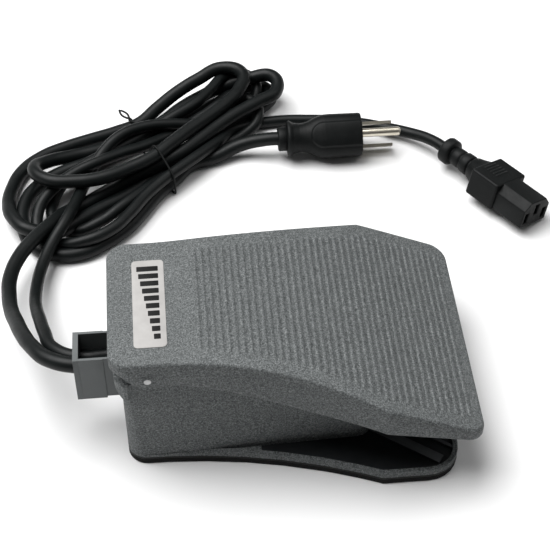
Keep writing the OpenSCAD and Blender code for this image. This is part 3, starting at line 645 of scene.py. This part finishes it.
# ---------------------------------------------------------------- tool connector
def make_connector():
    """The slotted nose from the CAD shape, run into a rounded block, and the ribbed relief."""
    body = soften("tool_connector", 0.6, "moulded_black", "connector_shell", clamp=False)
    back, cut_x, sunk_x, slack = CONN.inverted(), 46.65, 45.4, 0.05
    bm = bmesh.new()
    bm.from_mesh(body.data)
    bmesh.ops.bisect_plane(bm, geom=bm.verts[:] + bm.edges[:] + bm.faces[:],
                           plane_co=local(CONN, cut_x, 0, 0),
                           plane_no=CONN.to_3x3() @ Vector((1, 0, 0)), clear_inner=True)
    rim = [edge_highlight for edge_highlight in bm.edges if edge_highlight.is_boundary]
    bmesh.ops.triangle_fill(bm, use_beauty=True, use_dissolve=True, edges=rim)
    for vertex in bm.verts:
        x, y, z = (back @ vertex.co) / MM
        if x < cut_x + slack:
            vertex.co = local(CONN, sunk_x, y, z)
    bmesh.ops.recalc_face_normals(bm, faces=bm.faces[:])
    bm.to_mesh(body.data)
    bm.free()
    bm = bmesh.new()
    x0, x1, half_y, half_z = 28.2, 47.2, 12.0, 7.9
    add_ring_tube(bm, [[local(CONN, x, y * half_y, z * half_z)
                        for y, z in ((-1, -1), (1, -1), (1, 1), (-1, 1))] for x in (x0, x1)])
    block = piece_from("connector_block", bm, "moulded_black", "base", 35)
    bevel = block.modifiers.new("edges", "BEVEL")
    bevel.width = 1.3 * MM
    bevel.segments = 5
    bevel.harden_normals = True
    bm = bmesh.new()
    sections = [(0, 6.0, 6.0, 2), (0.4, 7.0, 7.0, 2), (1.2, 7.4, 7.4, 2), (5.2, 7.4, 7.4, 2),
                (6.1, 6.5, 6.5, 2), (6.5, 4.7, 4.7, 2)]
    for i in range(2):
        x, r = 7.5 + 6.6 * i, 5.2 + 0.6 * i
        sections += [(x - 0.3, 4.6, 4.6, 2), (x, r - 0.4, r - 0.4, 2), (x + 0.6, r, r, 2),
                     (x + 4.7, r + 0.1, r + 0.1, 2), (x + 5.3, r - 0.3, r - 0.3, 2),
                     (x + 5.6, 4.6 + 0.3 * i, 4.6 + 0.3 * i, 2)]
    sections += [(20.3, 4.9, 4.9, 2), (20.7, 5.9, 5.9, 2), (21.4, 6.4, 6.3, 2.1),
                 (24.0, 7.2, 6.6, 2.4), (26.4, 8.2, 6.9, 2.8), (28.6, 9.3, 7.1, 3.2)]
    loft(bm, CONN, sections, 40)
    relief = piece_from("connector_strain_relief", bm, "moulded_black", "base", 50)
    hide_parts("connector_relief")
    bm = bmesh.new()
    bar_count, bar_x, bar_pitch, half_x, half_y = 5, 31.2, 2.1, 0.55, 4.8
    levels = ((7.6, 0.0), (8.0, 0.05), (8.2, 0.3))
    for i in range(bar_count):
        x = bar_x + bar_pitch * i
        ring = [(x - half_x, -half_y), (x + half_x, -half_y), (x + half_x, half_y),
                (x - half_x, half_y)]
        add_ring_tube(bm, [[local(CONN, px + math.copysign(cut, x - px),
                                  py - math.copysign(cut, py), z) for px, py in ring]
                           for z, cut in levels])
    grip = piece_from("connector_grip", bm, "moulded_black", "base", 50)
    return [body, block, relief, grip]


# ---------------------------------------------------------------- treadle
TREADLE_L = 165.0
HINGE_W = 75.0
LIP_W = 117.0
TOP_H = 70.0
TOP_T = 3.0
SKIRT_T = 2.4
FLARE = (14.0, 120.0)
CROWN = (36.0, 130.0)
LIP_SLOPE = 0.46
HINGE_CORNER_R = 9.0
LIP_CORNER_R = 8.0
EDGE_R = 1.5
RIB_X0, RIB_PITCH, RIB_COUNT, RIB_H = 40.4, 3.2, 38, 0.5
RIB_SHAPE = ((-0.95, 0.0), (-0.72, 0.55), (-0.36, 0.92), (0.0, 1.0), (0.36, 0.92), (0.72, 0.55),
             (0.95, 0.0))
RIB_MARGIN, RIB_FADE = 8.0, 1.6
SKIRT_EDGE = ((-1, 61.8), (1, 62.4), (3, 63.2), (6, 61.6), (8, 59.6), (10, 57), (12, 55.6),
              (22, 55.4), (27, 56.2), (50, 52), (85, 42.6), (118, 37.2), (166, 26.6))
SKIRT_ROUND = ((0.0, 0.7), (0.09, 0.2), (0.28, 0.0), (0.72, 0.0), (0.91, 0.2), (1.0, 0.7))
PIN_X, PIN_Z, PIN_R = 16.6, 59.2, 4.2
BOSSES = (((95, -12), 7.0, 44.0), ((104, 14), 4.0, 27.6))      # middle, radius and lowest height
SECTOR_BLOCK = ((61, 9.5, 51), (75, 16, 64.8))


def half_width(x):
    """Half the treadle's width at x: straight, then flaring on an arc, then straight."""
    run, rise = FLARE[1] - FLARE[0], (LIP_W - HINGE_W) / 2
    radius = (run * run + rise * rise) / (2 * rise)
    inside = np.clip(x, FLARE[0], FLARE[1]) - FLARE[0]
    return HINGE_W / 2 + radius - np.sqrt(radius * radius - inside * inside)


def corner_cut(x, inset):
    """How much the rounded plan corners take off each side at x."""
    cut = 0.0
    for end, r in ((inset, HINGE_CORNER_R - inset), (TREADLE_L - inset, LIP_CORNER_R - inset)):
        reach = abs(x - end)
        if reach < r:
            cut = max(cut, r - math.sqrt(max(0.0, r * r - (r - reach) ** 2)))
    return cut


def top_height(x):
    """Height of the treadle's top at x: flat, then a crown, then a straight slope."""
    run = CROWN[1] - CROWN[0]
    if x <= CROWN[0]:
        return TOP_H
    if x <= CROWN[1]:
        return TOP_H - LIP_SLOPE * (x - CROWN[0]) ** 2 / (2 * run)
    return TOP_H - LIP_SLOPE * (run / 2 + x - CROWN[1])


def stations():
    """Places along the treadle, close together at its ends and at every rib, with rib heights."""
    ends = [0, 0.08, 0.25, 0.5, 0.85, 1.2, 1.5, 2.4, 3.5, 5, 7]
    found = {x: 0.0 for x in ends + [2, 3, 6, 8, 9, 10, 12, 14, 18, 22, 26, 30, 34, 37]}
    found.update({TREADLE_L - x: 0.0 for x in ends[:9]})
    for i in range(RIB_COUNT):
        for dx, h in RIB_SHAPE:
            found[round(RIB_X0 + RIB_PITCH * i + dx, 3)] = h
    found[round(TREADLE_L - 4.4, 3)] = 0.0
    return sorted(found.items())


def edge_distance(points, outline):
    """Distance of each point to a closed outline."""
    a, b = outline, np.roll(outline, -1, axis=0)
    way = b - a
    length = np.maximum((way**2).sum(1), 1e-12)
    t = np.clip(((points[:, None] - a[None]) * way[None]).sum(2) / length, 0, 1)
    return np.linalg.norm(points[:, None] - (a[None] + t[..., None] * way[None]), axis=2).min(1)


def treadle_grid(inset, drop, ribs):
    """Rows of points across the treadle, from its hinge end to its lip."""
    steps = [0, 0.08, 0.25, 0.5, 0.85, 1.2, 1.5, 2.4, 4.0, 6.0, 7.2, 7.6, 8.0, 8.4, 9.2, 11]
    core = [1 - k / 8 for k in range(9)]
    scale = (TREADLE_L - 2 * inset) / TREADLE_L
    rows, outline_a, outline_b = [], [], []
    for x, h in stations():
        px = inset + x * scale
        w = float(half_width(px)) - inset - corner_cut(px, inset)
        ys = [w - o for o in steps] + [(w - steps[-1]) * c for c in core[1:]]
        ys = ys + [-y for y in reversed(ys[:-1])]
        rows.append((px, h, w, ys))
        outline_a.append((px, w))
        outline_b.append((px, -w))
    outline = np.array(outline_a + outline_b[::-1])
    flat = np.array([(px, y) for px, _, _, ys in rows for y in ys])
    gap = edge_distance(flat, outline).reshape(len(rows), -1)
    grid = []
    for (px, h, _, ys), gaps in zip(rows, gap):
        row = []
        for y, d in zip(ys, gaps):
            z = top_height(px) - drop
            if ribs:
                round_off = max(0.0, EDGE_R - d)
                z -= EDGE_R - math.sqrt(EDGE_R**2 - round_off**2)
                room = float(half_width(px)) - RIB_MARGIN - abs(y)
                z += RIB_H * h * min(1.0, max(0.0, room / RIB_FADE + 0.5))
            row.append((px, y, z))
        grid.append(row)
    return grid


def grid_rim(grid):
    """Row and column of each point on the grid's rim, in order round it."""
    last_i, last_j = len(grid) - 1, len(grid[0]) - 1
    return ([(0, j) for j in range(last_j)] + [(i, last_j) for i in range(last_i)]
            + [(last_i, j) for j in range(last_j, 0, -1)] + [(i, 0) for i in range(last_i, 0, -1)])


def make_treadle():
    """The treadle's ribbed top and skirt, with the bosses, pin ends and block under it."""
    bm = bmesh.new()
    outer, inner = treadle_grid(0.0, 0.0, True), treadle_grid(SKIRT_T, TOP_T, False)
    caps = []
    for grid in (outer, inner):
        verts = [[bm.verts.new(at(*p)) for p in row] for row in grid]
        for a, b in zip(verts, verts[1:]):
            for j in range(len(a) - 1):
                bm.faces.new((a[j], a[j + 1], b[j + 1], b[j]))
        caps.append(verts)
    rim = grid_rim(outer)
    wall = [[caps[0][i][j] for i, j in rim]]
    edge_x, edge_z = zip(*SKIRT_EDGE)
    for share, highlight_and_scuff_tone in SKIRT_ROUND:
        ring = []
        for i, j in rim:
            (xa, ya, _), (xb, yb, _) = outer[i][j], inner[i][j]
            z = float(np.interp(xa, edge_x, edge_z)) + highlight_and_scuff_tone
            ring.append(bm.verts.new(at(xa + (xb - xa) * share, ya + (yb - ya) * share, z)))
        wall.append(ring)
    wall.append([caps[1][i][j] for i, j in rim])
    for a, b in zip(wall, wall[1:]):
        for k in range(len(a)):
            m = (k + 1) % len(a)
            bm.faces.new((a[k], a[m], b[m], b[k]))
    for (x, y), r, z0 in BOSSES:
        up = Matrix.Translation(at(x, y, 0)) @ Matrix.Rotation(math.radians(-90), 4, "Y")
        loft(bm, up, [(z0, r - 0.5, r - 0.5, 2), (z0 + 0.15, r - 0.15, r - 0.15, 2),
                      (z0 + 0.5, r, r, 2), (top_height(x + r) - 1.2, r, r, 2)], 32)
    for side in (-1, 1):
        out = Matrix.Translation(at(PIN_X, 0, PIN_Z)) @ Matrix.Rotation(
            math.radians(90 * side), 4, "Z")
        y1 = HINGE_W / 2
        loft(bm, out, [(y1 - SKIRT_T, PIN_R, PIN_R, 2), (y1 - 0.4, PIN_R, PIN_R, 2),
                       (y1 - 0.02, 4.1, 4.1, 2), (y1 + 0.08, 3.9, 3.9, 2)], 32)
    box_corners = [at(*corner) for corner in SECTOR_BLOCK]
    ring = [(box_corners[0].x, box_corners[0].y), (box_corners[1].x, box_corners[0].y),
            (box_corners[1].x, box_corners[1].y), (box_corners[0].x, box_corners[1].y)]
    add_ring_tube(bm, [[(x, y, box_corners[k].z) for x, y in ring] for k in (0, 1)])
    piece = piece_from("treadle_shell", bm, "hammertone_paint", "treadle", 50)
    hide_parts("treadle")


# ---------------------------------------------------------------- base
# The tray past this x gets painted shade, where the treadle shadows it.
TRAY_SHADE_X = 66.0
TRAY_T, WEB_H, RIM_H = 1.5, 2.6, 3.3
LEVEL_SLACK, RIM_SLACK = 0.2, 0.05


def make_base():
    """The casting with softened edges; inside its tray, past a cut across it, the floor and the
    faces that look onto other faces get a near-black painted shade, and the web tops a dark grey
    painted shade.
    """
    shell = soften("base_casting", 0.5, "hammertone_paint", "base_shell")
    mesh = shell.data
    bm = bmesh.new()
    bm.from_mesh(mesh)
    bmesh.ops.bisect_plane(bm, geom=bm.verts[:] + bm.edges[:] + bm.faces[:],
                           plane_co=at(TRAY_SHADE_X, 0, 0), plane_no=(1, 0, 0))
    bm.to_mesh(mesh)
    bm.free()
    mesh.materials.append(TRAY_SHADE)
    mesh.materials.append(WEB_SHADE)
    tree = BVHTree.FromPolygons([v.co for v in mesh.vertices],
                                [p.vertices[:] for p in mesh.polygons])
    floor_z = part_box("base_casting")[0].z
    upward, ray_lift = 0.999, 0.1
    for face in mesh.polygons:
        height = (face.center.z - floor_z) / MM
        in_tray = LEVEL_SLACK < height < RIM_H + RIM_SLACK
        if face.center.x < at(TRAY_SHADE_X, 0, 0).x or not in_tray:
            continue
        # painted shade: near-black on the tray's floor, dark grey on the web tops
        if face.normal.z > upward:
            levels = (height < TRAY_T + LEVEL_SLACK, height < WEB_H + LEVEL_SLACK)
            face.material_index = 1 if levels[0] else 2 if levels[1] else 0
        # painted shade: near-black on faces inside the tray that look onto other faces
        elif tree.ray_cast(face.center + face.normal * ray_lift * MM, face.normal)[0] is not None:
            face.material_index = 1


# ---------------------------------------------------------------- return spring
SPRING_AT = (95.0, -12.0)
SPRING_R, SPRING_WIRE_R, SPRING_TURNS = 5.6, 0.8, 7
SPRING_Z = (9.0, 44.0)
SPRING_TOP_GAP = 0.3


def make_spring():
    """A round-wire spring with closed end turns."""
    low = SPRING_Z[0] + SPRING_WIRE_R
    rise = SPRING_Z[1] - SPRING_Z[0] - 2 * SPRING_WIRE_R - SPRING_TOP_GAP
    per_turn, sides = 24, 10
    closed = 2.1 * SPRING_WIRE_R
    rings = []
    for i in range(SPRING_TURNS * per_turn + 1):
        turn = i / per_turn
        a = 2 * math.pi * turn
        out = Vector((math.cos(a), math.sin(a), 0))
        up = Vector((0, 0, 1))
        highlight_and_scuff_tone = float(np.interp(turn, (0, 1, SPRING_TURNS - 1, SPRING_TURNS),
                               (0, closed, rise - closed, rise)))
        centre = Vector((*SPRING_AT, low + highlight_and_scuff_tone)) + out * SPRING_R
        spins = [2 * math.pi * k / sides for k in range(sides)]
        rings.append([at(*(centre + (out * math.cos(b) + up * math.sin(b)) * SPRING_WIRE_R))
                      for b in spins])
    bm = bmesh.new()
    add_ring_tube(bm, rings)
    spring = piece_from("return_spring_coil", bm, "bright_steel", "base", 60)
    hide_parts("return_spring")
    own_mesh(spring)


# ---------------------------------------------------------------- label
LABEL_AT = (11.6, -27.4)
LABEL_SIZE = (14.6, 52.6)
LABEL_T = 0.3
LABEL_R = 2.0
BAR_COUNT, BAR_PITCH, BAR_W, BAR_R = 10, 4.55, 3.1, 0.35
BAR_FOOT, BAR_FIRST = 12.0, 4.7            # from LABEL_AT: x of every bar's end, y of the first
BAR_SHORTEST, BAR_GROWTH = 3.0, 6.8
INK_T, INK_SINK = 0.03, 0.02


def rounded_rect(x0, y0, x1, y1, r, steps=6):
    """The points of a rectangle whose corners have radius r."""
    ring = []
    for cx, cy, a0 in ((x1 - r, y1 - r, 0), (x0 + r, y1 - r, 90), (x0 + r, y0 + r, 180),
                       (x1 - r, y0 + r, 270)):
        for k in range(steps + 1):
            a = math.radians(a0 + 90 * k / steps)
            ring.append((cx + r * math.cos(a), cy + r * math.sin(a)))
    return ring


def slab(bm, ring, z0, z1, soft):
    """A flat shape from z0 to z1 with a softened top edge."""
    cx = sum(p[0] for p in ring) / len(ring)
    cy = sum(p[1] for p in ring) / len(ring)

    def moved_in(amount):
        return [(x - math.copysign(min(amount, abs(x - cx)), x - cx),
                 y - math.copysign(min(amount, abs(y - cy)), y - cy)) for x, y in ring]

    layers = [(ring, z0), (ring, z1 - soft), (moved_in(soft * 0.3), z1 - soft * 0.3),
              (moved_in(soft), z1)]
    add_ring_tube(bm, [[at(x, y, z) for x, y in points] for points, z in layers])


def make_label():
    """Pale label with a generic slower-faster scale: bars that grow along it."""
    x0, y0 = LABEL_AT
    x1, y1 = x0 + LABEL_SIZE[0], y0 + LABEL_SIZE[1]
    bm = bmesh.new()
    slab(bm, rounded_rect(x0, y0, x1, y1, LABEL_R), TOP_H - 0.05, TOP_H + LABEL_T, 0.1)
    plate = piece_from("label_card", bm, "label_stock", "treadle", 50)
    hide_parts("label_plate")
    bm = bmesh.new()
    top = TOP_H + LABEL_T
    foot_x = x0 + BAR_FOOT
    for i in range(BAR_COUNT):
        y = y0 + BAR_FIRST + BAR_PITCH * i
        reach = BAR_SHORTEST + BAR_GROWTH * i / (BAR_COUNT - 1)
        slab(bm, rounded_rect(foot_x - reach, y, foot_x, y + BAR_W, BAR_R, 3), top - INK_SINK,
             top + INK_T, INK_SINK)
    ink = piece_from("label_scale", bm, "label_stock", "treadle", 50)
    ink.data.materials.clear()
    ink.data.materials.append(INK)


# ---------------------------------------------------------------- cord tie
TIE_NEAR = (32.0, 144.0)
TIE_FAR = (1.0, 193.0)
TIE_REACH = 31.0
TIE_TWIST = (12.5, 193.5, 8.5)
TIE_R, TIE_FINENESS = 0.6, (3, 6)
TIE_BEFORE = 6                             # how far before TIE_NEAR a strand still counts
TWIST_L, TWIST_TURNS, TWIST_SHARE, TWIST_R = 13.5, 2.0, 0.45, 0.55
TWIST_POINTS, END_SPREAD, SPREAD_FROM = 19, 1.3, 0.4


def make_tie(lines):
    """The path of the band round the near strands, from TIE_NEAR towards TIE_FAR, and the point
    where its two ends come out from under them."""
    a = np.array(TIE_NEAR)
    way = (np.array(TIE_FAR) - a) / np.linalg.norm(np.array(TIE_FAR) - a)
    cuts = []
    for line, r in lines:
        dense = spaced(line, 1.0)
        side = (dense[:, :2] - a) @ np.array((-way[1], way[0]))
        for k in np.where(side[:-1] * side[1:] < 0)[0]:
            along = float((dense[k, :2] - a) @ way)
            if -TIE_BEFORE < along < TIE_REACH:
                cuts.append((along, float(dense[k, 2]), r))
    wire = 0.55                           # a little under TIE_R, so that the band lies snug
    samples = np.linspace(min(c[0] - c[2] for c in cuts), max(c[0] + c[2] for c in cuts), 61)
    over = np.full(len(samples), 0.0)
    for along, z, r in cuts:
        reach = r + wire + 0.1
        near = np.abs(samples - along) < reach
        over[near] = np.maximum(over[near], z + np.sqrt(reach**2 - (samples[near] - along) ** 2))
    hull = []
    for p in zip(samples, over):
        while len(hull) > 1 and ((hull[-1][0] - hull[-2][0]) * (p[1] - hull[-2][1])
                                 >= (hull[-1][1] - hull[-2][1]) * (p[0] - hull[-2][0])):
            hull.pop()
        hull.append(p)
    xs, zs = zip(*hull)
    beyond, foot_z, top_count = 0.9, 1.2, 26
    run = np.linspace(samples[0] - beyond, samples[-1] + beyond, top_count)
    top = np.interp(run, xs, zs, left=foot_z, right=foot_z)
    first, last = samples[0], samples[-1]
    under = [(last + 0.6, 0.9), (last - 4, 0.62), ((first + last) / 2, 0.6), (first + 4, 0.62),
             (first - 0.6, 0.9)]
    loop = list(zip(run, top)) + under
    points = [(a[0] + way[0] * s, a[1] + way[1] * s, max(z, wire)) for s, z in loop]
    return points, (a[0] + way[0] * last, a[1] + way[1] * last, 1.0)


def make_tie_pieces(lines):
    """The band, and its two ends, which run under the far strands and twist together outside."""
    points, under = make_tie(lines)
    band = tube_curve("tie_band", points, TIE_R, "moulded_black", TIE_FINENESS, closed=True)
    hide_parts("cord_tie")
    start, way = np.array(TIE_TWIST), np.array((-0.6, 0.8, 0.12))
    across = np.array((0.8, 0.6, 0.0))
    for number, side in ((1, -1), (2, 1)):
        points = [under, tuple((np.array(under) * 0.4 + start * 0.6)[:2]) + (1.0,),
                  (start[0], start[1] - 1.5, 3.5)]
        for k in range(TWIST_POINTS):
            t = k / (TWIST_POINTS - 1)
            spin = 2 * math.pi * TWIST_TURNS * min(t, TWIST_SHARE)
            spread = min(1.0, max(0.0, (t - SPREAD_FROM) / (1 - SPREAD_FROM)))
            open_by = END_SPREAD * math.sin(math.pi * spread)
            centre = start + way * TWIST_L * t
            out = side * (TWIST_R * math.cos(spin) + open_by)
            rise = side * TWIST_R * math.sin(spin)
            points.append(tuple(centre + across * out + np.array((0.0, 0.0, rise))))
        tube_curve(f"tie_end_{number}", points, TIE_R, "moulded_black", TIE_FINENESS)


# ---------------------------------------------------------------- floor and light
FLOOR_DROP = 0.2 * MM                      # keeps the floor off the object's lowest faces
WORLD_STRENGTH = 0.1


def make_stage():
    """Pale floor, dim white surroundings and two soft lights."""
    bm = bmesh.new()
    bmesh.ops.create_grid(bm, x_segments=4, y_segments=4, size=3.0)
    mesh = bpy.data.meshes.new("floor")
    bm.to_mesh(mesh)
    bm.free()
    floor = bpy.data.objects.new("floor", mesh)
    floor.location.z = -FLOOR_DROP
    bpy.context.scene.collection.objects.link(floor)
    n = Nodes("floor_paper")
    mesh.materials.append(n.done(grey(226), n.span(n.noise(40.0), 0.3, 0.7, 0.85, 0.95)))
    world = bpy.data.worlds.new("studio")
    world.use_nodes = True
    world.node_tree.nodes["Background"].inputs["Color"].default_value = (1, 1, 1, 1)
    world.node_tree.nodes["Background"].inputs["Strength"].default_value = WORLD_STRENGTH
    bpy.context.scene.world = world

    def area(name, spot, target, size, watts):
        data = bpy.data.lights.new(name, "AREA")
        data.shape = "SQUARE"
        data.size = size
        data.energy = watts
        light = bpy.data.objects.new(name, data)
        light.location = spot
        light.rotation_euler = (Vector(target) - Vector(spot)).to_track_quat("-Z", "Y").to_euler()
        bpy.context.scene.collection.objects.link(light)

    area("key", (-0.72, 0.42, 1.8), (0.0, 0.06, 0.0), 1.7, 79)
    area("fill", (0.9, 0.3, 1.2), (0.0, 0.08, 0.0), 1.0, 5)
    bpy.context.scene.view_settings.view_transform = "Standard"


make_camera()
mains_piece, tool_piece, mains_line, tool_line = make_cords()
plug_pieces = make_plug()
connector_pieces = make_connector()
make_treadle()
make_label()
make_tie_pieces(((mains_line, MAINS_R), (tool_line, TOOL_R)))
soften("cord_box", 0.35, "box_plastic", "cord_box_sleeve")
soften("cord_box_plate", 0.35, "box_plastic", "cord_box_end")
make_base()
make_spring()
soften("bottom_plate", 0.3, "black_steel", "bottom_sheet")
soften("floor_pad", 0.5, "pad_rubber", "floor_rubber")
make_stage()


def numbered(stem, count):
    """The names of nodes that are numbered from 1."""
    return [f"{stem}_{i + 1}" for i in range(count)]


blades = numbered("plug_blade", 2)
contacts = numbered("connector_contact", 3)
SLOTS = {
    "pad_rubber": ["stop_bumper"],
    "bright_steel": (["hinge_pin", "pot_bracket", "pot_shaft"] + numbered("bottom_screw", 4)
                     + numbered("cord_box_screw", 2) + numbered("sector_screw", 2)),
    "contact_metal": blades + contacts,
    "board_green": ["circuit_board"],
    "terminal_green": ["terminal_block"],
    "capacitor_yellow": ["capacitor"],
    "choke_orange": ["choke"],
    "heat_sink_alloy": ["heat_sink"],
    "triac_black": ["triac"],
    "pot_blue": ["pot_body"],
    "nylon_white": (["cord_clamp", "pinion", "spring_seat", "sector_gear"]
                    + numbered("board_standoff", 4)),
}
for slot_name, node_names in SLOTS.items():
    for node_name in node_names:
        finish_of(frame["nodes"][node_name], slot_name)
